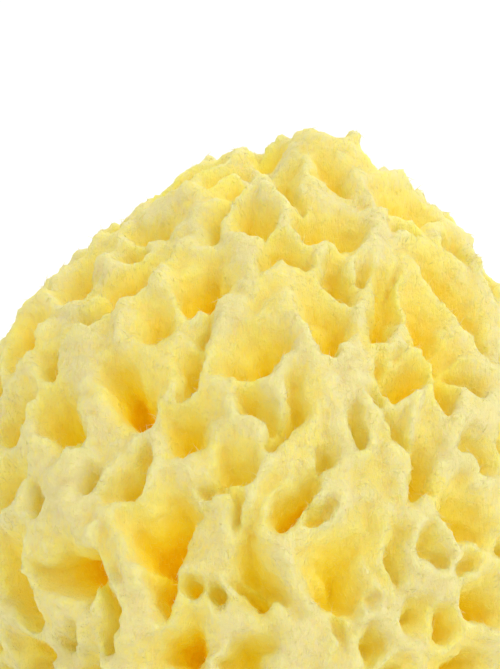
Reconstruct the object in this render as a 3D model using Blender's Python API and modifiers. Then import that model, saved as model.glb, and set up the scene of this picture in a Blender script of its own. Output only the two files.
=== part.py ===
"""A bleached honeycomb sea sponge, about 13 cm across, cut flat where it grew on the rock.

Metres, +Z up. The origin is in the middle of the flat cut, and the front faces -Y.
The body is a lumpy dome whose surface sinks into hollows and tubes, with sharp crests where they meet. The
hollows of the front are placed one by one, and the back, the sides and the cut base have hollows of the same
kinds wherever there is room.
"""

import itertools
import math
import random
from collections import namedtuple

import bmesh
import bpy
import numpy as np
from mathutils import Matrix, Vector

MM = 0.001

# The dome, from its widest height up and down. A power under 2 is nearer a cone, and one over 2 is squarer
HALF_WIDTH = 68 * MM
HALF_DEPTH = 62 * MM
CROWN_RISE = 81 * MM
CROWN_POWER = 1.7
FOOT_DROP = 44 * MM
FOOT_POWER = 2.4
CENTRE_HEIGHT = 32 * MM
LUMP_HEIGHT = 2.0 * MM
LUMPS_GRAIN = 0.5

# The front is described as an eye sees it from this far off and this far above the horizon, in mm from a point
# that lies this far up from the middle of the dome
EYE_DISTANCE = 450 * MM
EYE_LIFT = math.radians(12)
EYE_AIM_UP = 15 * MM
LONGEST_SLANT = 1.9

# How the surface sinks. Round each hollow the ground slopes in from the crests halfway to its neighbours, and
# far from any hollow it stays a plateau. A small hollow lies in a shallower valley. The hollow itself goes
# deeper: its power is 0.5 for a round bowl and more for a gentler rim. The sag moves the bottom downhill for
# each mm of depth, which leaves an upturned lip
VALLEY_DEPTH = 7.8 * MM
VALLEY_POWER = 1.05
VALLEY_ROUND = 0.04
VALLEY_REACH = 4.0
PLATEAU_FROM = 9 * MM
FULL_VALLEY = 4.2 * MM
LEAST_VALLEY = 0.35
FAR_OFF = 20 * MM
BOWL_POWER = 0.8
SAG = 0.55
STRAY_POWER = 1.5
MOUTH_WIDER = 1.1

# A hollow is seen lower than its mouth: by the sag of this much valley and of this share of its own depth
VALLEY_SINK = 4 * MM
SEEN_SINK = 0.4

# Between the hollows of the front the others stand wider and keep only this share of their depth
FRONT_FACING = 0.4
FRONT_SPACING = 1.18
FRONT_SHARE = 0.55

# How far the crests lie under the dome, at most, and over what distance that changes
CREST_DIP = 4.0 * MM
CREST_GRAIN = 14 * MM

# Grain and height of the creases between lumps, and grain and reach of what keeps a mouth from a plain oval
CREASES = ((8.0 * MM, 2.8 * MM), (3.6 * MM, 1.6 * MM))
WANDER = ((14 * MM, 4.5 * MM), (5.2 * MM, 2.1 * MM), (2.4 * MM, 0.8 * MM))

# The hollows that fill the rest
SCATTERED_SPACING = 1.04
SCATTERED_TRIES = 7000
SCATTERED_SEED = 11
BASE_CANALS = 18
BASE_CLEAR = 8 * MM
BASE_SPARE = 3 * MM
BASE_RIM = 7 * MM

# The canals keep within this share of the base, this far apart. Their half widths and depths are in mm
BASE_INNER = 0.84
BASE_WALL = 2.5 * MM
BASE_HALF_WIDTHS = (2.2, 3.6)
BASE_DEPTHS = (8, 13)
BASE_STRETCHES = (1.0, 1.5)

# Each noise has its own seed
LUMPS_SEED = 1
DIPS_SEED = 3
WANDER_SEED = 20
CREASES_SEED = 40

# How finely the solid is worked
BODY_FACES = 7
BODY_GRAIN = 1.0 * MM
FACET_SHARE = 0.037

# Small shifts that bring the middle of the cut to the origin
SHIFT_X = 0.55 * MM
SHIFT_Y = 0.95 * MM

COLOUR = (0.93, 0.78, 0.33, 1.0)

Swell = namedtuple("Swell", "across up height spread")

# Where the dome rises or, with a height below nothing, sinks
SWELLS = (
    Swell(10.5, 62.0, 7.4, 10.0),
    Swell(20.0, 58.0, 2.4, 6.0),
    Swell(29.0, 53.0, 2.6, 9.0),
    Swell(-27.0, 50.0, -3.4, 12.0),
    Swell(-4.0, 61.0, -6.5, 7.0),
    Swell(-52.0, 27.0, 3.0, 9.0),
    Swell(45.5, 44.0, -5.2, 10.5),
    Swell(-10.6, 59.4, 2.0, 2.6),
    Swell(-17.4, 56.4, 1.6, 4.0),
    Swell(-36.0, 13.2, 2.6, 4.0),
    Swell(-23.8, 38.4, 1.6, 5.0),
    Swell(7.0, 15.0, 2.0, 4.5),
    Swell(-10.0, -6.0, 1.4, 8.0),
    Swell(-27.6, -24.0, 2.4, 4.0),
    Swell(33.6, 15.0, 2.2, 4.0),
    Swell(12.0, -14.0, 1.6, 8.0),
)

# width and length are the mouth's, as seen. lean turns the length from upright towards the right, in degrees.
# sag is how far the bottom lies downhill for each mm of depth, and slide how far it lies to the right.
Hollow = namedtuple("Hollow", "across up width length lean depth sag slide", defaults=(SAG, 0))

FRONT = (
    # Crown
    Hollow(-13.0, 52.0, 3.4, 8.0, 10, 4.5),
    Hollow(-5.4, 49.6, 7.5, 9.0, 0, 6.5),
    Hollow(1.4, 57.0, 8.0, 5.0, 80, 3.0),
    Hollow(11.2, 57.2, 2.6, 6.0, -15, 4.2),
    Hollow(15.4, 48.0, 8.5, 9.0, 0, 4.8, SAG, -0.2),
    Hollow(1.4, 43.0, 7.0, 10.0, 70, 3.6),
    Hollow(-2.0, 40.5, 4.5, 6.5, 0, 5.0),
    Hollow(28.4, 46.4, 3.2, 6.5, -50, 4.4),
    # Left shoulder
    Hollow(-31.6, 34.0, 4.8, 16.0, 26, 8.5),
    Hollow(-26.6, 29.5, 8.0, 9.0, 10, 2.5),
    Hollow(-41.4, 26.4, 3.0, 8.5, 20, 5.5),
    Hollow(-16.4, 35.0, 8.6, 11.0, 85, 14.0, 0.25),
    Hollow(-16.0, 26.0, 5.0, 10.0, -5, 6.0),
    Hollow(-19.0, 17.4, 4.0, 13.5, 8, 10.0),
    Hollow(-32.2, 13.4, 8.6, 18.5, -39, 11.5, 0.1, -0.2),
    Hollow(-47.0, 7.0, 11.0, 14.0, 30, 5.0),
    Hollow(-42.2, 1.2, 2.8, 9.5, 35, 5.5),
    Hollow(-39.6, -7.2, 4.4, 5.2, 30, 5.5),
    Hollow(-29.4, -6.4, 4.4, 12.5, 20, 9.0, SAG, 0.1),
    Hollow(-51.2, -11.0, 3.4, 5.5, 0, 4.5),
    # Lower left
    Hollow(-44.8, -23.6, 8.6, 15.0, 84, 11.0, -0.3),
    Hollow(-55.0, -28.0, 7.0, 18.0, -8, 9.0),
    Hollow(-33.8, -35.4, 3.6, 20.0, -5, 10.0),
    Hollow(-44.0, -41.4, 3.8, 5.4, 80, 6.5),
    Hollow(-24.0, -20.4, 10.0, 16.0, 5, 9.0),
    Hollow(-24.8, -29.0, 5.0, 14.5, -3, 20.0, 0.3),
    Hollow(-18.6, -29.0, 3.6, 6.0, 20, 15.0, 0.3),
    Hollow(-20.4, -44.0, 8.5, 11.0, 60, 14.0),
    Hollow(-13.4, -30.0, 1.8, 7.0, -20, 7.0, 0.2),
    # Middle
    Hollow(-4.6, -26.0, 7.6, 19.0, -14, 8.0),
    Hollow(-3.4, -31.0, 6.6, 11.0, -10, 11.0),
    Hollow(-12.9, -7.0, 3.0, 3.0, 0, 10.0, 0.1),
    Hollow(-15.2, -7.8, 3.6, 5.2, 80, 4.0),
    Hollow(-10.2, -3.6, 5.2, 10.0, 10, 4.4),
    Hollow(-8.8, -11.8, 2.8, 9.0, -20, 4.6),
    Hollow(5.0, -11.0, 5.6, 11.5, 30, 10.5),
    Hollow(8.6, -14.0, 4.0, 5.0, -10, 4.2),
    Hollow(2.8, 5.0, 5.4, 20.0, 27, 10.5, 0.6, 0.1),
    Hollow(-3.2, 21.6, 11.0, 10.0, 0, 6.0),
    Hollow(-3.6, 21.0, 3.0, 6.0, 20, 12.0),
    Hollow(-6.6, 10.0, 5.6, 11.5, -5, 5.4),
    Hollow(-6.6, -42.4, 6.0, 6.0, 0, 5.5),
    # Right
    Hollow(14.0, 35.6, 5.2, 5.2, 0, 10.0),
    Hollow(12.4, 25.4, 7.0, 12.0, -5, 6.4),
    Hollow(11.8, 17.6, 3.2, 4.8, 35, 11.0),
    Hollow(23.4, 29.4, 5.4, 11.0, 5, 7.6),
    Hollow(24.8, 34.6, 2.4, 8.5, 5, 7.0),
    Hollow(18.6, 38.6, 2.8, 5.0, 0, 5.5),
    Hollow(36.8, 36.4, 4.8, 20.0, -48, 7.0),
    Hollow(33.8, 22.4, 6.8, 20.0, -10, 6.4),
    Hollow(35.8, 9.8, 4.0, 8.0, -15, 12.0),
    Hollow(42.8, 13.4, 5.0, 7.0, 0, 8.5),
    Hollow(29.4, 15.0, 6.4, 8.4, -15, 5.8),
    Hollow(25.4, 19.4, 3.0, 3.6, 30, 4.0),
    Hollow(21.4, 10.2, 3.6, 4.6, 0, 5.5),
    Hollow(22.2, 17.4, 2.8, 8.5, -12, 4.6),
    Hollow(18.4, 3.2, 2.4, 5.0, 20, 7.5),
    Hollow(11.2, -2.4, 3.8, 7.5, 15, 4.6),
    Hollow(31.6, -4.6, 5.0, 13.5, 0, 6.8),
    Hollow(26.8, 3.6, 3.2, 9.5, -35, 5.0),
    Hollow(42.0, 1.2, 5.0, 6.5, 0, 5.5),
    # Lower right
    Hollow(38.0, -12.4, 6.4, 11.0, -45, 3.2),
    Hollow(30.8, -20.6, 3.4, 7.5, -25, 4.4),
    Hollow(25.0, -23.0, 3.8, 12.5, 8, 2.8),
    Hollow(40.0, -23.4, 4.6, 4.8, 0, 4.0),
    Hollow(14.4, -25.0, 11.0, 23.0, 18, 5.4),
    Hollow(20.2, -30.2, 3.4, 8.4, 10, 2.0),
    Hollow(29.6, -33.0, 4.2, 9.6, 10, 2.0),
    Hollow(36.2, -37.4, 3.6, 8.0, 10, 4.2),
    Hollow(13.2, -36.8, 3.6, 8.0, -15, 2.2),
    Hollow(20.4, -39.5, 4.4, 9.0, 12, 2.2),
)

# The kinds of hollow that fill the rest: how often, then the smallest and largest width, length and depth
KINDS = (
    (0.44, (9.0, 12.5), (11.0, 18.0), (5.0, 7.0)),
    (0.38, (7.0, 9.5), (10.0, 17.0), (9.0, 13.0)),
    (0.18, (5.5, 7.5), (6.5, 9.5), (11.0, 16.0)),
)

CENTRE = Vector((0, 0, CENTRE_HEIGHT))
EYE_WAY = Vector((0, -math.cos(EYE_LIFT), math.sin(EYE_LIFT)))
EYE_UP = Vector((0, math.sin(EYE_LIFT), math.cos(EYE_LIFT)))
EYE_RIGHT = Vector((1, 0, 0))
EYE_AIM = EYE_UP * EYE_AIM_UP
EYE = EYE_AIM + EYE_WAY * EYE_DISTANCE

# One hollow as it is sunk: the middle of its mouth, half its width and length along the surface, its depth, and
# how far its bottom strays from the common sag
Sink = namedtuple("Sink", "mouth wide long depth drift")


def smooth_noise(places, grain, seed, columns=1, size=24):
    """Smooth noise from -1 to 1 at each place: random values on a grid, eased between its corners."""
    lattice = np.random.default_rng(seed).uniform(-1, 1, (size, size, size, columns))
    scaled = places / grain
    corner = np.floor(scaled).astype(int)
    share = scaled - corner
    share = share * share * (3 - 2 * share)
    total = np.zeros((len(places), columns))
    for step in itertools.product((0, 1), repeat=3):
        weight = np.prod(np.where(step, share, 1 - share), axis=1)
        x, y, z = ((corner + step) % size).T
        total += weight[:, None] * lattice[x, y, z]
    return total


def lengths(vectors):
    return np.sqrt((vectors**2).sum(axis=1))[:, None]


def dome_radius(ways):
    """The dome's radius each way, before it swells anywhere."""
    up = ways[:, 2]
    rise = np.where(up > 0, CROWN_RISE, FOOT_DROP)
    power = np.where(up > 0, CROWN_POWER, FOOT_POWER)
    outward = np.hypot(ways[:, 0] / HALF_WIDTH, ways[:, 1] / HALF_DEPTH)
    oval = (outward**power + (np.abs(up) / rise) ** power) ** (1 / power)
    return 1 / oval + LUMP_HEIGHT * smooth_noise(ways, LUMPS_GRAIN, LUMPS_SEED)[:, 0]


def dome_out(ways, step=0.02):
    """The way out of the dome's surface, from how the radius changes round each way."""
    slope = np.zeros_like(ways)
    for axis in range(3):
        nudge = np.zeros(3)
        nudge[axis] = step
        ahead, behind = ways + nudge, ways - nudge
        slope[:, axis] = dome_radius(ahead / lengths(ahead)) - dome_radius(behind / lengths(behind))
    outs = ways - slope / (2 * step) / dome_radius(ways)[:, None]
    return outs / lengths(outs)


def seen(across, up):
    """The point of the dome that the eye sees there, the way out of the surface, and how much nearer it is."""
    ray = (EYE_AIM + EYE_RIGHT * across + EYE_UP * up - EYE).normalized()
    middle = -EYE.dot(ray)
    reach = (EYE + ray * middle).length
    way = (EYE + ray * middle).normalized()
    for _ in range(12):
        radius = dome_radius(np.array([way]))[0]
        back = math.sqrt(max(radius * radius - reach * reach, 0))
        way = (EYE + ray * (middle - back)).normalized()
    ways = np.array([way])
    point = way * dome_radius(ways)[0]
    return point, Vector(dome_out(ways)[0]), 1 - point.dot(EYE_WAY) / EYE_DISTANCE


def slanted(out, direction):
    """The vector along the surface that looks like this direction to the eye, and so is longer on a slope."""
    facing = max(out.dot(EYE_WAY), 0.25)
    along = direction - EYE_WAY * (direction.dot(out) / facing)
    return along * (min(along.length, LONGEST_SLANT) / along.length)


def downhill(out):
    """Straight down, laid along the surface: nothing at the crown and a unit long on an upright side."""
    return out * out.z - Vector((0, 0, 1))


def front_sinks():
    sinks = []
    for hollow in FRONT:
        point, out, nearer = seen(hollow.across * MM, hollow.up * MM)
        lean = math.radians(hollow.lean)
        lengthways = EYE_RIGHT * math.sin(lean) + EYE_UP * math.cos(lean)
        sideways = EYE_RIGHT * math.cos(lean) - EYE_UP * math.sin(lean)
        half = nearer * MOUTH_WIDER / 2 * MM
        drift = (downhill(out) * (hollow.sag - SAG) + EYE_RIGHT * hollow.slide) * (hollow.depth * MM)
        wide = slanted(out, sideways) * (hollow.width * half)
        long = slanted(out, lengthways) * (hollow.length * half)
        sunk_by = SAG * VALLEY_SINK + hollow.sag * hollow.depth * MM * SEEN_SINK
        mouth = Vector(wandered(np.array([point - downhill(out) * sunk_by]))[0])
        sinks.append(Sink(mouth, wide, long, hollow.depth * MM, drift))
    return sinks


def sink_size(sink):
    return (sink.wide.length + sink.long.length) / 2


def scattered_sinks(sinks):
    """Hollows of the given kinds wherever there is still room between those that are placed."""
    dice = random.Random(SCATTERED_SEED)
    sinks = list(sinks)
    tries = []
    for _ in range(SCATTERED_TRIES):
        height = dice.uniform(-1, 1)
        turn = dice.uniform(0, 2 * math.pi)
        kind = dice.choices(KINDS, [k[0] for k in KINDS])[0]
        sizes = [dice.uniform(*span) * MM for span in kind[1:]]
        ring = math.sqrt(1 - height * height)
        tries.append(((ring * math.cos(turn), ring * math.sin(turn), height), *sizes, dice.gauss(0, 0.5)))
    ways = np.array([t[0] for t in tries])
    points = ways * dome_radius(ways)[:, None]
    outs = dome_out(ways)
    for (_, width, length, depth, lean), point, out in zip(tries, points, outs):
        if point[2] < -CENTRE_HEIGHT:
            continue
        size = (width + length) / 4
        point, out = Vector(point), Vector(out)
        in_front = out.dot(EYE_WAY) > FRONT_FACING
        spacing = FRONT_SPACING if in_front else SCATTERED_SPACING
        if any((point - s.mouth).length < spacing * (size + sink_size(s)) for s in sinks):
            continue
        if in_front:
            depth *= FRONT_SHARE
        down = downhill(out)
        along = down.normalized() if down.length > 0.1 else Vector((1, 0, 0))
        lengthways = Matrix.Rotation(lean, 3, out) @ along
        sideways = out.cross(lengthways)
        sinks.append(Sink(point, sideways * (width / 2), lengthways * (length / 2), depth, Vector((0, 0, 0))))
    return sinks


def base_sinks():
    """Canals that the flat cut opens, clear of its middle and of its rim."""
    dice = random.Random(SCATTERED_SEED + 1)
    sinks = []
    rim = BASE_INNER * HALF_DEPTH * (1 - (CENTRE_HEIGHT / FOOT_DROP) ** FOOT_POWER) ** (1 / FOOT_POWER)
    while len(sinks) < BASE_CANALS:
        turn = dice.uniform(0, 2 * math.pi)
        away = math.sqrt(dice.uniform((2 * BASE_CLEAR / rim) ** 2, 1)) * rim
        half = dice.uniform(*BASE_HALF_WIDTHS) * MM
        point = Vector((away * math.cos(turn), away * math.sin(turn), -CENTRE_HEIGHT - BASE_SPARE))
        if any((point - s.mouth).length < half + sink_size(s) + BASE_WALL for s in sinks):
            continue
        wide = Matrix.Rotation(dice.uniform(0, math.pi), 3, "Z") @ Vector((half, 0, 0))
        long = Vector((-wide.y, wide.x, 0)) * dice.uniform(*BASE_STRETCHES)
        sinks.append(Sink(point, wide, long, dice.uniform(*BASE_DEPTHS) * MM, Vector((0, 0, 0))))
    return sinks


def rounds_away(looks, sink):
    """How far each point is from the hollow's middle, where 1 is its rim, for the points that are near it."""
    reach = VALLEY_REACH * max(sink.wide.length, sink.long.length)
    offset = looks - np.array(sink.mouth)
    near = np.flatnonzero((offset**2).sum(axis=1) < reach**2)
    across = offset[near] @ np.array(sink.wide / sink.wide.length_squared)
    along = offset[near] @ np.array(sink.long / sink.long.length_squared)
    return near, np.hypot(across, along)


def sunk_depths(looks, sinks, valleys):
    """How deep the ground lies at each point, and how far it strays from the common sag."""
    first = np.full(len(looks), VALLEY_REACH)
    second = first.copy()
    gap = np.full(len(looks), FAR_OFF)
    own = np.ones(len(looks))
    deepest = np.zeros(len(looks))
    stray = np.zeros((len(looks), 3))
    for sink in sinks:
        near, away = rounds_away(looks, sink)
        nearest = first[near]
        second[near] = np.minimum(second[near], np.maximum(nearest, away))
        first[near] = np.minimum(nearest, away)
        own[near[away < nearest]] = np.clip(sink_size(sink) / FULL_VALLEY, LEAST_VALLEY, 1)
        gap[near] = np.minimum(gap[near], (away - 1) * sink_size(sink))
        depth = sink.depth * np.clip(1 - away**2, 0, None) ** BOWL_POWER
        wins = depth > deepest[near]
        near, depth = near[wins], depth[wins]
        deepest[near] = depth
        stray[near] = np.array(sink.drift) * ((depth / sink.depth) ** STRAY_POWER)[:, None]
    inside = np.sqrt(((second - first) / (second + first)) ** 2 + VALLEY_ROUND**2) - VALLEY_ROUND
    plateau = np.exp(-((np.clip(gap, 0, None) / PLATEAU_FROM) ** 2))
    valley = VALLEY_DEPTH * (1 - (1 - inside) ** VALLEY_POWER) * plateau * own
    return deepest + valley * valleys, stray


def wandered(places):
    moved = places.copy()
    for seed, (grain, reach) in enumerate(WANDER):
        moved += smooth_noise(places, grain, WANDER_SEED + seed, 3) * reach
    return moved


def crests_and_creases(places, looks):
    """How far the crests lie under the dome, and the creases between the lumps."""
    depths = CREST_DIP * (0.5 + 0.5 * smooth_noise(places, CREST_GRAIN, DIPS_SEED)[:, 0])
    for seed, (grain, height) in enumerate(CREASES):
        depths += (0.5 - np.abs(smooth_noise(looks, grain, CREASES_SEED + seed)[:, 0])) * height
    return depths


def add_object(name, bm, collection):
    mesh = bpy.data.meshes.new(name)
    bm.to_mesh(mesh)
    bm.free()
    made = bpy.data.objects.new(name, mesh)
    collection.objects.link(made)
    return made


def add_ground(collection):
    """What lies under the flat cut, to be taken away."""
    side = 4 * HALF_WIDTH
    bm = bmesh.new()
    bmesh.ops.create_cube(bm, size=side)
    bmesh.ops.translate(bm, verts=bm.verts, vec=(0, 0, -side / 2))
    ground = add_object("ground", bm, collection)
    ground.hide_render = True
    ground.display_type = "WIRE"
    return ground


def sponge_material():
    material = bpy.data.materials.new("sponge")
    material.use_nodes = True
    shader = material.node_tree.nodes["Principled BSDF"]
    shader.inputs["Base Color"].default_value = COLOUR
    shader.inputs["Roughness"].default_value = 0.9
    shader.inputs["Metallic"].default_value = 0.0
    return material


def sunk_points(ways):
    """The dome with its swells and its flat foot, then the valleys and hollows."""
    radii = dome_radius(ways)
    outs = dome_out(ways)
    places = ways * radii[:, None]
    looks = wandered(places)
    crests = crests_and_creases(places, looks)
    for swell in SWELLS:
        middle = np.array(seen(swell.across * MM, swell.up * MM)[0])
        rounds = lengths(places - middle)[:, 0] / (swell.spread * MM)
        radii += swell.height * MM * np.exp(-(rounds**2))
    foot = -CENTRE_HEIGHT - BASE_SPARE
    places = ways * radii[:, None]
    under = places[:, 2] < foot
    places[under] *= (foot / places[under, 2])[:, None]
    looks[under] = places[under]
    outs[under] = (0, 0, -1)
    valleys = np.clip((places[:, 2] - foot) / BASE_RIM, 0, 1)
    sinks = scattered_sinks(front_sinks()) + base_sinks()
    depths, stray = sunk_depths(looks, sinks, valleys)
    depths += crests * valleys
    downs = outs * outs[:, 2:] - np.array((0, 0, 1))
    print(f"{len(sinks)} hollows")
    return places - outs * depths[:, None] + downs * (SAG * depths)[:, None] + stray


def add_sponge(collection, ground):
    bm = bmesh.new()
    bmesh.ops.create_icosphere(bm, subdivisions=BODY_FACES, radius=1)
    ways = np.array([vert.co.normalized() for vert in bm.verts])
    for vert, place in zip(bm.verts, sunk_points(ways)):
        vert.co = place
    bmesh.ops.translate(bm, verts=bm.verts, vec=CENTRE + Vector((SHIFT_X, SHIFT_Y, 0)))
    sponge = add_object("sponge", bm, collection)
    sponge.data.shade_smooth()
    sponge.data.materials.append(sponge_material())
    smoothed = sponge.modifiers.new("smoothed", "SMOOTH")
    smoothed.iterations = 2
    evened = sponge.modifiers.new("evened", "REMESH")
    evened.mode = "VOXEL"
    evened.voxel_size = BODY_GRAIN
    facets = sponge.modifiers.new("facets", "DECIMATE")
    facets.ratio = FACET_SHARE
    flat = sponge.modifiers.new("cut_flat", "BOOLEAN")
    flat.operation = "DIFFERENCE"
    flat.object = ground
    return sponge


def clear_scene():
    for old in list(bpy.data.objects):
        bpy.data.objects.remove(old)


def new_collection(name):
    collection = bpy.data.collections.new(name)
    bpy.context.scene.collection.children.link(collection)
    return collection


def main():
    clear_scene()
    part = new_collection("sea_sponge")
    cutters = new_collection("cutters")
    add_sponge(part, add_ground(cutters))


main()
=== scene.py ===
import itertools
import math
import random
import time

import bmesh
import bpy
import numpy as np
from mathutils import Matrix, Vector


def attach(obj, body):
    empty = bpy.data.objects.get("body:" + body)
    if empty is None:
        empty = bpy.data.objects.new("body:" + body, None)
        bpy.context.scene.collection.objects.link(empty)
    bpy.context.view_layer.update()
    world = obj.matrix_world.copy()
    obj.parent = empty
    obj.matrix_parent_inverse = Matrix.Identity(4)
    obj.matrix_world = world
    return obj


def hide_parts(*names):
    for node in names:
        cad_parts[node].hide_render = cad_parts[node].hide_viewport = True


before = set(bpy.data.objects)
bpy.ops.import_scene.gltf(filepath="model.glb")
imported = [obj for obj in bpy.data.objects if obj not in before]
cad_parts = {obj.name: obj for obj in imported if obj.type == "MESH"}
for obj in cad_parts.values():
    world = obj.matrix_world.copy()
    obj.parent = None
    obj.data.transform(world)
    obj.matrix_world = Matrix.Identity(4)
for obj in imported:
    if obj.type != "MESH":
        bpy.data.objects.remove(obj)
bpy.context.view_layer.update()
started = time.time()
mm = 0.001


def report(text):
    print(f"{time.time() - started:5.1f} s  {text}")


# The sponge's body: a lumpy dome that sinks into valleys and pits, with crests between them.
# A power under 2 is nearer a cone, and one over 2 is squarer. Lengths are in metres.
body = {
    "halfWidth": 0.068,
    "halfDepth": 0.062,
    "crownRise": 0.081,
    "crownPower": 1.7,
    "footDrop": 0.044,
    "footPower": 2.4,
    "centreHeight": 0.032,
    "lumpHeight": 0.002,
    "lumpsGrain": 0.5,
    "shift": (0.00055, 0.00095),
    # valleys and pits
    "valleyDepth": 0.0078,
    "valleyPower": 1.05,
    "valleyRound": 0.04,
    "valleyReach": 4.0,
    "plateauFrom": 0.009,
    "fullValley": 0.0042,
    "leastValley": 0.35,
    "bowlPower": 0.8,
    "sag": 0.55,
    "mouthWider": 1.1,
    "valleySink": 0.004,
    "seenSink": 0.4,
    "crestDip": 0.004,
    "crestGrain": 0.014,
    "strayPower": 1.5,
    "farOff": 0.02,
    "wander": ((0.014, 0.0045), (0.0052, 0.0021), (0.0024, 0.0008)),
    # the pits that fill the rest
    "scatterSpacing": 1.04,
    "scatterTries": 7000,
    "scatterSeed": 11,
    "frontFacing": 0.4,
    "frontSpacing": 1.18,
    "frontShare": 0.55,
    "baseCanals": 18,
    "baseClear": 0.008,
    "baseSpare": 0.003,
    "baseRim": 0.007,
    "baseInner": 0.84,
    "baseWall": 0.0025,
    # in mm
    "baseHalfWidths": (2.2, 3.6),
    "baseDepths": (8, 13),
    "baseStretches": (1.0, 1.5),
    # each noise has its own seed
    "lumpsSeed": 1,
    "dipsSeed": 3,
    "wanderSeed": 20,
    "reliefSeed": 30,
    "creasesSeed": 40,
    # how fine the mesh is
    "spheres": 8,
    "grain": 0.00062,
    "faces": 195000,
    "creases": ((0.0080, 0.0028), (0.0036, 0.0016)),
    "relief": ((0.0018, 0.0004), (0.0009, 0.0002)),
}

# The photograph's eye, and the point above the dome's middle that places on the front are measured from
eye = {
    "distance": 0.450,
    "lift": math.radians(12),
    "aimUp": 0.015,
    "frameAcross": -0.0056,
    "frameUp": 0.0231,
    "frameHeight": 669 * 0.0002,
    "longestSlant": 1.9,
}

# Where the dome rises or sinks: across, up, height and spread, in mm
swells = (
    (10.5, 62.0, 7.4, 10.0),
    (20.0, 58.0, 2.4, 6.0),
    (29.0, 53.0, 2.6, 9.0),
    (-27.0, 50.0, -3.4, 12.0),
    (-4.0, 61.0, -6.5, 7.0),
    (-52.0, 27.0, 3.0, 9.0),
    (45.5, 44.0, -5.2, 10.5),
    (-10.6, 59.4, 2.0, 2.6),
    (-17.4, 56.4, 1.6, 4.0),
    (-36.0, 13.2, 2.6, 4.0),
    (-23.8, 38.4, 1.6, 5.0),
    (7.0, 15.0, 2.0, 4.5),
    (-10.0, -6.0, 1.4, 8.0),
    (-27.6, -24.0, 2.4, 4.0),
    (33.6, 15.0, 2.2, 4.0),
    (12.0, -14.0, 1.6, 8.0),
)

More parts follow.
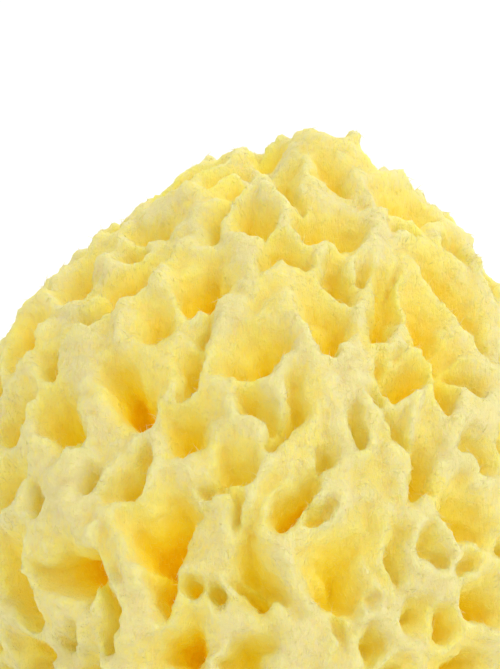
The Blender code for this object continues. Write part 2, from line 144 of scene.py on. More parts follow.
# The pits of the front, in mm and degrees: across, up, width, length, lean to the right, depth, and for some
# how far the bottom lies downhill and to the right for each mm of depth
pits = {
    "crown": (
        (-13.0, 52.0, 3.4, 8.0, 10, 4.5),
        (-5.4, 49.6, 7.5, 9.0, 0, 6.5),
        (1.4, 57.0, 8.0, 5.0, 80, 3.0),
        (11.2, 57.2, 2.6, 6.0, -15, 4.2),
        (15.4, 48.0, 8.5, 9.0, 0, 4.8, 0.5, -0.2),
        (1.4, 43.0, 7.0, 10.0, 70, 3.6),
        (-2.0, 40.5, 4.5, 6.5, 0, 5.0),
        (28.4, 46.4, 3.2, 6.5, -50, 4.4),
    ),
    "left shoulder": (
        (-31.6, 34.0, 4.8, 16.0, 26, 8.5),
        (-26.6, 29.5, 8.0, 9.0, 10, 2.5),
        (-41.4, 26.4, 3.0, 8.5, 20, 5.5),
        (-16.4, 35.0, 8.6, 11.0, 85, 14.0, 0.25),
        (-16.0, 26.0, 5.0, 10.0, -5, 6.0),
        (-19.0, 17.4, 4.0, 13.5, 8, 10.0),
        (-32.2, 13.4, 8.6, 18.5, -39, 11.5, 0.1, -0.2),
        (-47.0, 7.0, 11.0, 14.0, 30, 5.0),
        (-42.2, 1.2, 2.8, 9.5, 35, 5.5),
        (-39.6, -7.2, 4.4, 5.2, 30, 5.5),
        (-29.4, -6.4, 4.4, 12.5, 20, 9.0, 0.5, 0.1),
        (-51.2, -11.0, 3.4, 5.5, 0, 4.5),
    ),
    "lower left": (
        (-44.8, -23.6, 8.6, 15.0, 84, 11.0, -0.3),
        (-55.0, -28.0, 7.0, 18.0, -8, 9.0),
        (-33.8, -35.4, 3.6, 20.0, -5, 10.0),
        (-44.0, -41.4, 3.8, 5.4, 80, 6.5),
        (-24.0, -20.4, 10.0, 16.0, 5, 9.0),
        (-24.8, -29.0, 5.0, 14.5, -3, 20.0, 0.3),
        (-18.6, -29.0, 3.6, 6.0, 20, 15.0, 0.3),
        (-20.4, -44.0, 8.5, 11.0, 60, 14.0),
        (-13.4, -30.0, 1.8, 7.0, -20, 7.0, 0.2),
    ),
    "middle": (
        (-4.6, -26.0, 7.6, 19.0, -14, 8.0),
        (-3.4, -31.0, 6.6, 11.0, -10, 11.0),
        (-12.9, -7.0, 3.0, 3.0, 0, 10.0, 0.1),
        (-15.2, -7.8, 3.6, 5.2, 80, 4.0),
        (-10.2, -3.6, 5.2, 10.0, 10, 4.4),
        (-8.8, -11.8, 2.8, 9.0, -20, 4.6),
        (5.0, -11.0, 5.6, 11.5, 30, 10.5),
        (8.6, -14.0, 4.0, 5.0, -10, 4.2),
        (2.8, 5.0, 5.4, 20.0, 27, 10.5, 0.6, 0.1),
        (-3.2, 21.6, 11.0, 10.0, 0, 6.0),
        (-3.6, 21.0, 3.0, 6.0, 20, 12.0),
        (-6.6, 10.0, 5.6, 11.5, -5, 5.4),
        (-6.6, -42.4, 6.0, 6.0, 0, 5.5),
    ),
    "right": (
        (14.0, 35.6, 5.2, 5.2, 0, 10.0),
        (12.4, 25.4, 7.0, 12.0, -5, 6.4),
        (11.8, 17.6, 3.2, 4.8, 35, 11.0),
        (23.4, 29.4, 5.4, 11.0, 5, 7.6),
        (24.8, 34.6, 2.4, 8.5, 5, 7.0),
        (18.6, 38.6, 2.8, 5.0, 0, 5.5),
        (36.8, 36.4, 4.8, 20.0, -48, 7.0),
        (33.8, 22.4, 6.8, 20.0, -10, 6.4),
        (35.8, 9.8, 4.0, 8.0, -15, 12.0),
        (42.8, 13.4, 5.0, 7.0, 0, 8.5),
        (29.4, 15.0, 6.4, 8.4, -15, 5.8),
        (25.4, 19.4, 3.0, 3.6, 30, 4.0),
        (21.4, 10.2, 3.6, 4.6, 0, 5.5),
        (22.2, 17.4, 2.8, 8.5, -12, 4.6),
        (18.4, 3.2, 2.4, 5.0, 20, 7.5),
        (11.2, -2.4, 3.8, 7.5, 15, 4.6),
        (31.6, -4.6, 5.0, 13.5, 0, 6.8),
        (26.8, 3.6, 3.2, 9.5, -35, 5.0),
        (42.0, 1.2, 5.0, 6.5, 0, 5.5),
    ),
    "lower right": (
        (38.0, -12.4, 6.4, 11.0, -45, 3.2),
        (30.8, -20.6, 3.4, 7.5, -25, 4.4),
        (25.0, -23.0, 3.8, 12.5, 8, 2.8),
        (40.0, -23.4, 4.6, 4.8, 0, 4.0),
        (14.4, -25.0, 11.0, 23.0, 18, 5.4),
        (20.2, -30.2, 3.4, 8.4, 10, 2.0),
        (29.6, -33.0, 4.2, 9.6, 10, 2.0),
        (36.2, -37.4, 3.6, 8.0, 10, 4.2),
        (13.2, -36.8, 3.6, 8.0, -15, 2.2),
        (20.4, -39.5, 4.4, 9.0, 12, 2.2),
    ),
}

# The kinds of pit that fill the rest, in mm: how often, then the smallest and largest width, length and depth
pitKinds = (
    (0.44, (9.0, 12.5), (11.0, 18.0), (5.0, 7.0)),
    (0.38, (7.0, 9.5), (10.0, 17.0), (9.0, 13.0)),
    (0.18, (5.5, 7.5), (6.5, 9.5), (11.0, 16.0)),
)

# The sponge's yellow from the crests down to the deepest pits, with painted shade that turns it darker and
# more orange deeper down, and where along the depth each colour lies
look = {
    "crestAt": 0.001,
    "deepAt": 0.015,
    "yellowWithPaintedShade": (
        (0.0, (0.80, 0.71, 0.35)),
        (0.14, (0.82, 0.70, 0.22)),
        (0.38, (0.83, 0.66, 0.13)),
        (0.7, (0.83, 0.60, 0.03)),
        (1.0, (0.80, 0.47, 0.0)),
    ),
    # painted light: an emission that grows with depth, standing in for light that soaks through the walls and
    # comes out in the pits
    "paintedGlow": (
        (0.0, (0.05, 0.045, 0.004)),
        (0.3, (0.15, 0.135, 0.012)),
        (0.7, (0.24, 0.18, 0.002)),
        (1.0, (0.25, 0.135, 0.0)),
    ),
    # how strongly the painted light is emitted
    "paintedGlowStrength": 1.0,
    "mottleGrain": 95,
    "felt": 1500,
    "fineShare": 0.4,
    "mottling": 0.35,
    "fineMottling": 0.2,
    "strandMottling": 0.35,
    "bump": (0.9, 0.0009),
    "soak": {"Subsurface Weight": 0.7, "Subsurface Radius": (1.0, 0.75, 0.1), "Subsurface Scale": 0.007},
}

# The loose fibres that stand on the body, in metres: how many in each piece, and how long and thick
fibre = {
    "pieces": ("fibres_front_left", "fibres_front_right", "fibres_sides", "fibres_back"),
    "each": 19500,
    "spotsPerFibre": 12,
    "length": (0.0009, 0.0026),
    "thickness": 0.00011,
    "lift": 0.1,
    "stray": 1.1,
    "bend": 0.4,
    "shorterDeep": 0.45,
    "toneSpread": 0.06,
    "lowest": 0.002,
    "frontUpTo": -0.015,
    "sidesUpTo": 0.02,
    "seed": 5,
}

eyeWay = Vector((0, -math.cos(eye["lift"]), math.sin(eye["lift"])))
eyeUp = Vector((0, math.sin(eye["lift"]), math.cos(eye["lift"])))
eyeRight = Vector((1, 0, 0))
eyeAim = eyeUp * eye["aimUp"]
eyePlace = eyeAim + eyeWay * eye["distance"]
centre = Vector((body["shift"][0], body["shift"][1], body["centreHeight"]))


# Smooth noise from -1 to 1 at each place: random values on a grid, eased between its corners
def smoothNoise(places, grain, seed, columns=1):
    size = 24
    lattice = np.random.default_rng(seed).uniform(-1, 1, (size, size, size, columns))
    scaled = places / grain
    corner = np.floor(scaled).astype(int)
    share = scaled - corner
    share = share * share * (3 - 2 * share)
    total = np.zeros((len(places), columns))
    for step in itertools.product((0, 1), repeat=3):
        weight = np.prod(np.where(step, share, 1 - share), axis=1)
        x, y, z = ((corner + step) % size).T
        total += weight[:, None] * lattice[x, y, z]
    return total


# The dome's radius each way, before it swells anywhere
def domeRadius(ways):
    up = ways[:, 2]
    rise = np.where(up > 0, body["crownRise"], body["footDrop"])
    power = np.where(up > 0, body["crownPower"], body["footPower"])
    outward = np.hypot(ways[:, 0] / body["halfWidth"], ways[:, 1] / body["halfDepth"])
    oval = (outward**power + (np.abs(up) / rise) ** power) ** (1 / power)
    return 1 / oval + body["lumpHeight"] * smoothNoise(ways, body["lumpsGrain"], body["lumpsSeed"])[:, 0]


def lengths(vectors):
    return np.sqrt((vectors**2).sum(axis=1))[:, None]


# The way out of the dome's surface, from how the radius changes round each way
def domeOut(ways, step=0.02):
    slope = np.zeros_like(ways)
    for axis in range(3):
        nudge = np.zeros(3)
        nudge[axis] = step
        ahead, behind = ways + nudge, ways - nudge
        slope[:, axis] = domeRadius(ahead / lengths(ahead)) - domeRadius(behind / lengths(behind))
    outs = ways - slope / (2 * step) / domeRadius(ways)[:, None]
    return outs / lengths(outs)


# The point of the dome that the eye sees at this place, the way out there, and how much nearer it is
def seenPoint(across, up):
    ray = (eyeAim + eyeRight * across + eyeUp * up - eyePlace).normalized()
    middle = -eyePlace.dot(ray)
    reach = (eyePlace + ray * middle).length
    way = (eyePlace + ray * middle).normalized()
    for _ in range(12):
        radius = domeRadius(np.array([way]))[0]
        back = math.sqrt(max(radius * radius - reach * reach, 0))
        way = (eyePlace + ray * (middle - back)).normalized()
    ways = np.array([way])
    point = way * domeRadius(ways)[0]
    return point, Vector(domeOut(ways)[0]), 1 - point.dot(eyeWay) / eye["distance"]


# The vector along the surface that looks like this direction to the eye, and so is longer on a slope
def slanted(out, direction):
    facing = max(out.dot(eyeWay), 0.25)
    along = direction - eyeWay * (direction.dot(out) / facing)
    return along * (min(along.length, eye["longestSlant"]) / along.length)


def downhill(out):
    return out * out.z - Vector((0, 0, 1))


# A pit as it is sunk: the middle of its mouth, half its width and length along the surface, its depth, and
# how far its bottom strays from the common sag
def pitAt(mouth, wide, long, depth, drift=(0, 0, 0)):
    size = (wide.length + long.length) / 2
    return {"mouth": mouth, "wide": wide, "long": long, "depth": depth, "drift": Vector(drift), "size": size}


def frontPits():
    made = []
    usual = (body["sag"], 0)
    for row in itertools.chain(*pits.values()):
        across, up, width, length, lean, depth, sag, slide = row + usual[len(row) - 6 :]
        point, out, nearer = seenPoint(across * mm, up * mm)
        lean = math.radians(lean)
        lengthways = eyeRight * math.sin(lean) + eyeUp * math.cos(lean)
        sideways = eyeRight * math.cos(lean) - eyeUp * math.sin(lean)
        half = nearer * body["mouthWider"] / 2 * mm
        drift = (downhill(out) * (sag - body["sag"]) + eyeRight * slide) * (depth * mm)
        wide = slanted(out, sideways) * (width * half)
        long = slanted(out, lengthways) * (length * half)
        sunkBy = body["sag"] * body["valleySink"] + sag * depth * mm * body["seenSink"]
        mouth = Vector(wander(np.array([point - downhill(out) * sunkBy]))[0])
        made.append(pitAt(mouth, wide, long, depth * mm, drift))
    return made


# Pits of the given kinds wherever there is still room
def scatteredPits(made):
    dice = random.Random(body["scatterSeed"])
    made = list(made)
    tries = []
    for _ in range(body["scatterTries"]):
        height = dice.uniform(-1, 1)
        turn = dice.uniform(0, 2 * math.pi)
        kind = dice.choices(pitKinds, [k[0] for k in pitKinds])[0]
        sizes = [dice.uniform(*span) * mm for span in kind[1:]]
        ring = math.sqrt(1 - height * height)
        tries.append(((ring * math.cos(turn), ring * math.sin(turn), height), *sizes, dice.gauss(0, 0.5)))
    ways = np.array([t[0] for t in tries])
    points = ways * domeRadius(ways)[:, None]
    outs = domeOut(ways)
    for (_, width, length, depth, lean), point, out in zip(tries, points, outs):
        if point[2] < -body["centreHeight"]:
            continue
        size = (width + length) / 4
        point, out = Vector(point), Vector(out)
        inFront = out.dot(eyeWay) > body["frontFacing"]
        spacing = body["frontSpacing"] if inFront else body["scatterSpacing"]
        if any((point - p["mouth"]).length < spacing * (size + p["size"]) for p in made):
            continue
        if inFront:
            depth *= body["frontShare"]
        down = downhill(out)
        along = down.normalized() if down.length > 0.1 else Vector((1, 0, 0))
        lengthways = Matrix.Rotation(lean, 3, out) @ along
        sideways = out.cross(lengthways)
        made.append(pitAt(point, sideways * (width / 2), lengthways * (length / 2), depth))
    return made


# Canals that the flat cut opens, clear of its middle and of its rim
def basePits():
    dice = random.Random(body["scatterSeed"] + 1)
    made = []
    share = 1 - (body["centreHeight"] / body["footDrop"]) ** body["footPower"]
    rim = body["baseInner"] * body["halfDepth"] * share ** (1 / body["footPower"])
    foot = -body["centreHeight"] - body["baseSpare"]
    while len(made) < body["baseCanals"]:
        turn = dice.uniform(0, 2 * math.pi)
        away = math.sqrt(dice.uniform((2 * body["baseClear"] / rim) ** 2, 1)) * rim
        half = dice.uniform(*body["baseHalfWidths"]) * mm
        point = Vector((away * math.cos(turn), away * math.sin(turn), foot))
        if any((point - p["mouth"]).length < half + p["size"] + body["baseWall"] for p in made):
            continue
        wide = Matrix.Rotation(dice.uniform(0, math.pi), 3, "Z") @ Vector((half, 0, 0))
        long = Vector((-wide.y, wide.x, 0)) * dice.uniform(*body["baseStretches"])
        made.append(pitAt(point, wide, long, dice.uniform(*body["baseDepths"]) * mm))
    return made


# How far each point is from the pit's middle, where 1 is its rim, for the points that are near it
def roundsAway(looks, pit):
    reach = body["valleyReach"] * max(pit["wide"].length, pit["long"].length)
    offset = looks - np.array(pit["mouth"])
    near = np.flatnonzero((offset**2).sum(axis=1) < reach**2)
    across = offset[near] @ np.array(pit["wide"] / pit["wide"].length_squared)
    along = offset[near] @ np.array(pit["long"] / pit["long"].length_squared)
    return near, np.hypot(across, along)


# How deep the ground lies at each point, and how far it strays from the common sag
def sunkDepths(looks, made, valleys):
    first = np.full(len(looks), body["valleyReach"])
    second = first.copy()
    gap = np.full(len(looks), body["farOff"])
    own = np.ones(len(looks))
    deepest = np.zeros(len(looks))
    stray = np.zeros((len(looks), 3))
    for pit in made:
        near, away = roundsAway(looks, pit)
        nearest = first[near]
        second[near] = np.minimum(second[near], np.maximum(nearest, away))
        first[near] = np.minimum(nearest, away)
        own[near[away < nearest]] = np.clip(pit["size"] / body["fullValley"], body["leastValley"], 1)
        gap[near] = np.minimum(gap[near], (away - 1) * pit["size"])
        depth = pit["depth"] * np.clip(1 - away**2, 0, None) ** body["bowlPower"]
        wins = depth > deepest[near]
        near, depth = near[wins], depth[wins]
        deepest[near] = depth
        stray[near] = np.array(pit["drift"]) * ((depth / pit["depth"]) ** body["strayPower"])[:, None]
    rounding = body["valleyRound"]
    inside = np.sqrt(((second - first) / (second + first)) ** 2 + rounding**2) - rounding
    plateau = np.exp(-(np.clip(gap, 0, None) / body["plateauFrom"]) ** 2)
    valley = body["valleyDepth"] * (1 - (1 - inside) ** body["valleyPower"]) * plateau * own
    return deepest + valley * valleys, stray


def wander(places):
    moved = places.copy()
    for seed, (grain, reach) in enumerate(body["wander"]):
        moved += smoothNoise(places, grain, body["wanderSeed"] + seed, 3) * reach
    return moved


# How far the crests lie under the dome
def crestDips(places):
    noise = smoothNoise(places, body["crestGrain"], body["dipsSeed"])[:, 0]
    return body["crestDip"] * (0.5 + 0.5 * noise)


def swollenRadius(ways):
    radii = domeRadius(ways)
    places = ways * radii[:, None]
    for across, up, height, spread in swells:
        middle = np.array(seenPoint(across * mm, up * mm)[0])
        radii += height * mm * np.exp(-((lengths(places - middle)[:, 0] / (spread * mm)) ** 2))
    return radii


# The dome with its swells, its flat foot and everything that is sunk into it
def sunkPoints(ways):
    radii = domeRadius(ways)
    outs = domeOut(ways)
    places = ways * radii[:, None]
    looks = wander(places)
    dips = crestDips(places)
    radii = swollenRadius(ways)
    foot = -body["centreHeight"] - body["baseSpare"]
    places = ways * radii[:, None]
    under = places[:, 2] < foot
    places[under] *= (foot / places[under, 2])[:, None]
    looks[under] = places[under]
    outs[under] = (0, 0, -1)
    valleys = np.clip((places[:, 2] - foot) / body["baseRim"], 0, 1)
    made = scatteredPits(frontPits()) + basePits()
    depths, stray = sunkDepths(looks, made, valleys)
    depths += dips * valleys
    for seed, (grain, height) in enumerate(body["creases"]):
        noise = smoothNoise(looks, grain, body["creasesSeed"] + seed)[:, 0]
        depths += (0.5 - np.abs(noise)) * height * valleys
    downs = outs * outs[:, 2:] - np.array((0, 0, 1))
    report(f"{len(made)} pits")
    return places - outs * depths[:, None] + downs * (body["sag"] * depths)[:, None] + stray


def addObject(name, mesh):
    made = bpy.data.objects.new(name, mesh)
    bpy.context.scene.collection.objects.link(made)
    return made


def meshPoints(mesh):
    points = np.zeros(len(mesh.vertices) * 3)
    mesh.vertices.foreach_get("co", points)
    return points.reshape(-1, 3)


def setPoints(mesh, points):
    mesh.vertices.foreach_set("co", points.astype(np.float32).ravel())
    mesh.update()


# Replaces the object's mesh by what its modifiers make of it
def applyModifiers(piece):
    shown = piece.evaluated_get(bpy.context.evaluated_depsgraph_get())
    mesh = bpy.data.meshes.new_from_object(shown)
    piece.modifiers.clear()
    old = piece.data
    piece.data = mesh
    bpy.data.meshes.remove(old)


def makeBody():
    bm = bmesh.new()
    bmesh.ops.create_icosphere(bm, subdivisions=body["spheres"], radius=1)
    mesh = bpy.data.meshes.new("sponge_body")
    bm.to_mesh(mesh)
    bm.free()
    ways = meshPoints(mesh)
    ways /= lengths(ways)
    setPoints(mesh, sunkPoints(ways) + np.array(centre))
    piece = addObject("sponge_body", mesh)
    smoothed = piece.modifiers.new("smoothed", "SMOOTH")
    smoothed.factor = 0.5
    smoothed.iterations = 2
    evened = piece.modifiers.new("evened", "REMESH")
    evened.mode = "VOXEL"
    evened.voxel_size = body["grain"]
    applyModifiers(piece)
    points = meshPoints(piece.data)
    normals = np.array([v.normal for v in piece.data.vertices])
    for seed, (grain, height) in enumerate(body["relief"]):
        points += normals * smoothNoise(points, grain, body["reliefSeed"] + seed) * height
    setPoints(piece.data, points)
    thinned = piece.modifiers.new("thinned", "DECIMATE")
    thinned.ratio = min(1, body["faces"] / 2 / len(piece.data.polygons))
    applyModifiers(piece)
    cutFlat(piece)
    piece.data.shade_smooth()
    markDepth(piece)
    report(f"{len(piece.data.polygons)} faces on the body")
    return piece


# The flat cut where the sponge grew: everything under it is taken off and the cut is closed
def cutFlat(piece):
    bm = bmesh.new()
    bm.from_mesh(piece.data)
    everything = bm.verts[:] + bm.edges[:] + bm.faces[:]
    bmesh.ops.bisect_plane(bm, geom=everything, plane_co=(0, 0, 0), plane_no=(0, 0, -1), clear_outer=True)
    rims = [e for e in bm.edges if e.is_boundary]
    bmesh.ops.triangle_fill(bm, use_beauty=True, edges=rims, normal=(0, 0, -1))
    bmesh.ops.recalc_face_normals(bm, faces=bm.faces)
    bm.to_mesh(piece.data)
    bm.free()


# How far each point lies under the dome, from 0 on the crests to 1 in the deepest pits, for the colour with
# its painted shade and for the painted light emitted in the pits
def depthShares(points):
    fromMiddle = points - np.array(centre)
    ways = fromMiddle / lengths(fromMiddle)
    under = swollenRadius(ways) - lengths(fromMiddle)[:, 0]
    under -= crestDips(ways * domeRadius(ways)[:, None])
    foot = body["centreHeight"] / np.clip(-ways[:, 2], 0.01, None)
    under = np.where(ways[:, 2] < 0, np.minimum(under, foot - lengths(fromMiddle)[:, 0]), under)
    return np.clip((under - look["crestAt"]) / (look["deepAt"] - look["crestAt"]), 0, 1)


def markDepth(piece):
    layer = piece.data.attributes.new("depth", "FLOAT", "POINT")
    layer.data.foreach_set("value", depthShares(meshPoints(piece.data)).astype(np.float32))


report("the sponge's form")
spongeBody = makeBody()


# One fibre: a thin straight spike along +Z, a unit long
def fibreShape():
    bm = bmesh.new()
    bmesh.ops.create_cone(bm, cap_ends=True, segments=3, radius1=0.5, radius2=0, depth=1)
    bmesh.ops.translate(bm, verts=bm.verts, vec=(0, 0, 0.5))
    upright = [e for e in bm.edges if abs(e.verts[0].co.z - e.verts[1].co.z) > 0.5]
    bmesh.ops.subdivide_edges(bm, edges=upright, cuts=1)
    bmesh.ops.triangulate(bm, faces=bm.faces)
    bmesh.ops.recalc_face_normals(bm, faces=bm.faces)
    bm.verts.index_update()
    points = np.array([v.co for v in bm.verts])
    faces = np.array([[v.index for v in f.verts] for f in bm.faces])
    bm.free()
    return points, faces


# Places on the body, spread over its area: a point and the way out
def spots(piece, count, dice):
    mesh = piece.data
    triangles = mesh.loop_triangles
    mesh.calc_loop_triangles()
    corners = np.array([t.vertices for t in triangles])
    areas = np.array([t.area for t in triangles])
    normals = np.array([t.normal for t in triangles])
    points = meshPoints(mesh)
    middles = points[corners].mean(axis=1)
    chances = areas * (middles[:, 2] > fibre["lowest"])
    picked = dice.choice(len(corners), count, p=chances / chances.sum())
    shares = dice.dirichlet((1, 1, 1), count)
    places = (points[corners[picked]] * shares[:, :, None]).sum(axis=1)
    return places, normals[picked]


# Which piece a fibre belongs to, by where it stands round the sponge
def quarter(places):
    front = np.where(places[:, 0] < 0, 0, 1)
    rest = np.where(places[:, 1] < fibre["sidesUpTo"], 2, 3)
    return np.where(places[:, 1] < fibre["frontUpTo"], front, rest)


def addFibres(piece):
    dice = np.random.default_rng(fibre["seed"])
    shape, faces = fibreShape()
    places, normals = spots(piece, fibre["each"] * fibre["spotsPerFibre"], dice)
    depth = depthShares(places)
    groups = quarter(places)
    # They lie along the slope, mostly towards the crests, and lift a little off it
    up = np.array(centre) * (0, 0, 0.5)
    outward = (places - up) / lengths(places - up)
    along = outward + dice.normal(0, fibre["stray"], places.shape)
    along -= normals * (along * normals).sum(axis=1)[:, None]
    along /= lengths(along)
    along += normals * (fibre["lift"] * dice.uniform(0.2, 1.6, len(places)))[:, None]
    along /= lengths(along)
    side = np.cross(along, normals)
    side /= lengths(side)
    over = np.cross(side, along)
    made = []
    for number, name in enumerate(fibre["pieces"]):
        mine = np.flatnonzero(groups == number)[: fibre["each"]]
        long = dice.uniform(*fibre["length"], len(mine)) * (1 - fibre["shorterDeep"] * depth[mine])
        x, y, z = shape.T
        bend = fibre["bend"] * dice.uniform(-0.6, 1.4, len(mine))
        thick = fibre["thickness"] * dice.uniform(0.7, 1.4, len(mine))
        points = (
            places[mine, None]
            + side[mine, None] * (x * thick[:, None])[:, :, None]
            + over[mine, None] * (y * thick[:, None] - z**2 * (bend * long)[:, None])[:, :, None]
            + along[mine, None] * (z * long[:, None])[:, :, None]
        ).reshape(-1, 3)
        points[:, 2] = np.clip(points[:, 2], 0.0002, None)
        corners = (faces[None] + len(shape) * np.arange(len(mine))[:, None, None]).reshape(-1, 3)
        mesh = bpy.data.meshes.new(name)
        mesh.from_pydata(points.tolist(), [], corners.tolist())
        # each fibre's depth, which sets its painted shade and its painted light
        tone = depth[mine] + dice.normal(0, fibre["toneSpread"], len(mine))
        tone = np.repeat(np.clip(tone, 0.01, 0.99), len(shape))
        both = np.stack((tone, np.tile(0.02 + 0.96 * z, len(mine))), axis=1)[corners.ravel()]
        layer = mesh.uv_layers.new(name="OFBake")
        layer.data.foreach_set("uv", both.astype(np.float32).ravel())
        mesh.shade_smooth()
        made.append(addObject(name, mesh))
        report(f"{len(mine)} fibres, {len(corners)} faces in {name}")
    return made


# A socket that takes part in sums, for shader maths written as plain expressions
class Value:
    def __init__(self, nodes, socket):
        self.nodes, self.socket = nodes, socket

    def math(self, operation, a, b):
        return self.nodes.add("ShaderNodeMath", {"operation": operation}, {0: a, 1: b})

    def __add__(self, other):
        return self.math("ADD", self, other)

    def __sub__(self, other):
        return self.math("SUBTRACT", self, other)

    def __rsub__(self, other):
        return self.math("SUBTRACT", other, self)

    def __mul__(self, other):
        return self.math("MULTIPLY", self, other)

    __radd__ = __add__
    __rmul__ = __mul__


class Nodes:
    def __init__(self, name):
        self.material = bpy.data.materials.new(name)
        self.material.use_nodes = True
        self.tree = self.material.node_tree
        self.shader = self.tree.nodes["Principled BSDF"]

    # Any node: its type, its settings, and the values or links of its sockets
    def add(self, kind, settings=None, sockets=None, output=0):
        node = self.tree.nodes.new(kind)
        for key, value in (settings or {}).items():
            if key == "stops":
                setStops(node.color_ramp, value)
            else:
                setattr(node, key, value)
        self.feed(node, sockets or {})
        return Value(self, node.outputs[output])

    def feed(self, node, sockets):
        for key, value in sockets.items():
            if isinstance(value, Value):
                self.tree.links.new(value.socket, node.inputs[key])
            else:
                node.inputs[key].default_value = value

    def place(self):
        return self.add("ShaderNodeTexCoord", output="Object")

    def noise(self, scale, detail=3.0, rough=0.55, where=None):
        sockets = {"Vector": where or self.place(), "Scale": scale, "Detail": detail, "Roughness": rough}
        return self.add("ShaderNodeTexNoise", None, sockets)


def setStops(ramp, stops):
    while len(ramp.elements) < len(stops):
        ramp.elements.new(0.5)
    for element, (place, colour) in zip(ramp.elements, stops):
        element.position = place
        element.color = (*colour, 1)


# Felted sponge: pale on the crests and deep yellow in the pits by painted shade, with painted light emitted
# in the pits, a little mottling and a fibrous bump
def spongeFinish():
    nodes = Nodes("sponge_felt")
    depth = nodes.add("ShaderNodeAttribute", {"attribute_name": "depth"}, output="Fac")
    mottle = nodes.noise(look["mottleGrain"])
    fine = nodes.noise(look["felt"] * look["fineShare"])
    stretched = nodes.add("ShaderNodeMapping", None, {"Vector": nodes.place(), "Scale": (1, 1, 0.3)})
    strands = nodes.noise(look["felt"], 4.0, 0.7, stretched)
    tone = depth + (mottle - 0.5) * look["mottling"] + (fine - 0.5) * look["fineMottling"]
    tone = tone + (strands - 0.5) * look["strandMottling"]
    # painted shade: the base colour turns darker and more orange with depth
    colour = nodes.add("ShaderNodeValToRGB", {"stops": look["yellowWithPaintedShade"]}, {"Fac": tone})
    # painted light: the pits emit more the deeper they lie
    paintedGlow = nodes.add("ShaderNodeValToRGB", {"stops": look["paintedGlow"]}, {"Fac": tone})
    strength, height = look["bump"]
    bump = nodes.add("ShaderNodeBump", None, {"Height": strands, "Strength": strength, "Distance": height})
    nodes.feed(nodes.shader, {"Base Color": colour, "Normal": bump, "Roughness": 0.92 - 0.12 * fine})
    nodes.feed(nodes.shader, {"Emission Color": paintedGlow, "Emission Strength": look["paintedGlowStrength"]})
    nodes.feed(nodes.shader, {**look["soak"], "Specular IOR Level": 0.1})
    return nodes.material


# Loose fibres, in the tone that their map gives, paler towards their tips, with painted shade and painted
# light emitted by the depth they stand at
def fibreFinish():
    nodes = Nodes("sponge_fibre")
    toneMap = nodes.add("ShaderNodeUVMap", {"uv_map": "OFBake"})
    depth = nodes.add("ShaderNodeSeparateXYZ", None, {"Vector": toneMap}, output="X")
    along = nodes.add("ShaderNodeSeparateXYZ", None, {"Vector": toneMap}, output="Y")
    tone = depth * 0.75 - along * 0.2
    # painted shade: the fibre's colour turns darker and more orange with the depth it stands at
    colour = nodes.add("ShaderNodeValToRGB", {"stops": look["yellowWithPaintedShade"]}, {"Fac": tone})
    # painted light: the fibres emit like the ground around them, more in the pits
    paintedGlow = nodes.add("ShaderNodeValToRGB", {"stops": look["paintedGlow"]}, {"Fac": depth})
    nodes.feed(nodes.shader, {"Base Color": colour, "Roughness": 0.85 - 0.1 * along})
    nodes.feed(nodes.shader, {"Emission Color": paintedGlow, "Emission Strength": look["paintedGlowStrength"]})
    nodes.feed(nodes.shader, {"Specular IOR Level": 0.2, "Sheen Weight": 0.1})
    return nodes.material


looseFibres = addFibres(spongeBody)
spongeBody.data.materials.append(spongeFinish())
fibreMaterial = fibreFinish()
for piece in looseFibres:
    piece.data.materials.append(fibreMaterial)
for piece in (spongeBody, *looseFibres):
    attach(piece, "root")
    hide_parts("sponge")


# A plain white floor that curves up behind, and soft light all round
stage = {
    "floor": 1.2,
    "curve": 0.4,
    "colour": (0.97, 0.97, 0.97),
    "worldStrength": 0.82,
    "worldShown": 1.05,
    "lamps": {
        # place, size and power
        "key": ((0.45, -0.55, 0.75), 0.7, 4.0),
        "fill": ((-0.7, -0.5, 0.45), 0.8, 0.2),
        "back": ((0.2, 0.6, 0.8), 0.8, 3.0),
    },
}


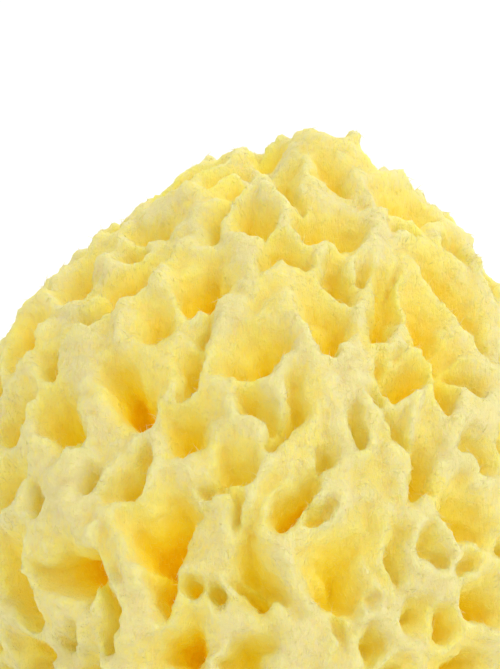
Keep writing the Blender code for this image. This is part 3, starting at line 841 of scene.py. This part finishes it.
def addStage():
    bm = bmesh.new()
    side, curve = stage["floor"], stage["curve"]
    start = [bm.verts.new((x, -side, 0)) for x in (-side, side)]
    edge = bm.edges.new(start)
    grown = bmesh.ops.extrude_edge_only(bm, edges=[edge])["geom"]
    line = [g for g in grown if isinstance(g, bmesh.types.BMEdge)]
    ends = [g for g in grown if isinstance(g, bmesh.types.BMVert)]
    bmesh.ops.translate(bm, verts=ends, vec=(0, 2 * side - curve, 0))
    line = [e for e in line if e.verts[0] in ends and e.verts[1] in ends]
    middle = (0, side - curve, curve)
    turn = math.radians(90)
    bmesh.ops.spin(bm, geom=line + ends, cent=middle, axis=(1, 0, 0), dvec=(0, 0, 0), angle=turn, steps=16)
    mesh = bpy.data.meshes.new("floor")
    bm.to_mesh(mesh)
    bm.free()
    mesh.shade_smooth()
    floor = addObject("floor", mesh)
    nodes = Nodes("paper")
    grain = nodes.noise(60)
    nodes.feed(nodes.shader, {"Base Color": (*stage["colour"], 1), "Roughness": 0.9 + 0.05 * grain})
    mesh.materials.append(nodes.material)


def addLight():
    world = bpy.data.worlds.new("studio")
    bpy.context.scene.world = world
    world.use_nodes = True
    sky = world.node_tree.nodes["Background"]
    sky.inputs["Color"].default_value = (1, 1, 1, 1)
    # The sky lights less than it shows, so that what lies behind the floor is as white as the floor
    ray = world.node_tree.nodes.new("ShaderNodeLightPath")
    strength = world.node_tree.nodes.new("ShaderNodeMapRange")
    strength.inputs["To Min"].default_value = stage["worldStrength"]
    strength.inputs["To Max"].default_value = stage["worldShown"]
    world.node_tree.links.new(ray.outputs["Is Camera Ray"], strength.inputs["Value"])
    world.node_tree.links.new(strength.outputs["Result"], sky.inputs["Strength"])
    for name, (place, size, power) in stage["lamps"].items():
        lamp = bpy.data.objects.new(name, bpy.data.lights.new(name, "AREA"))
        lamp.data.size = size
        lamp.data.energy = power
        lamp.location = place
        lamp.rotation_euler = (centre - Vector(place)).to_track_quat("-Z", "Y").to_euler()
        bpy.context.scene.collection.objects.link(lamp)
    bpy.context.scene.view_settings.view_transform = "Standard"


# The photograph's view
def addCamera():
    camera = bpy.data.objects.new("camera", bpy.data.cameras.new("camera"))
    bpy.context.scene.collection.objects.link(camera)
    bpy.context.scene.camera = camera
    target = eyeAim + eyeRight * eye["frameAcross"] + eyeUp * eye["frameUp"]
    way = target - eyePlace
    camera.location = centre + eyePlace
    camera.rotation_euler = way.to_track_quat("-Z", "Y").to_euler()
    camera.data.sensor_fit = "AUTO"
    camera.data.sensor_width = 36
    camera.data.lens = 36 * way.length / eye["frameHeight"]
    camera.data.clip_start = 0.01


addCamera()
addStage()
addLight()
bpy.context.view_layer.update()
report("done")
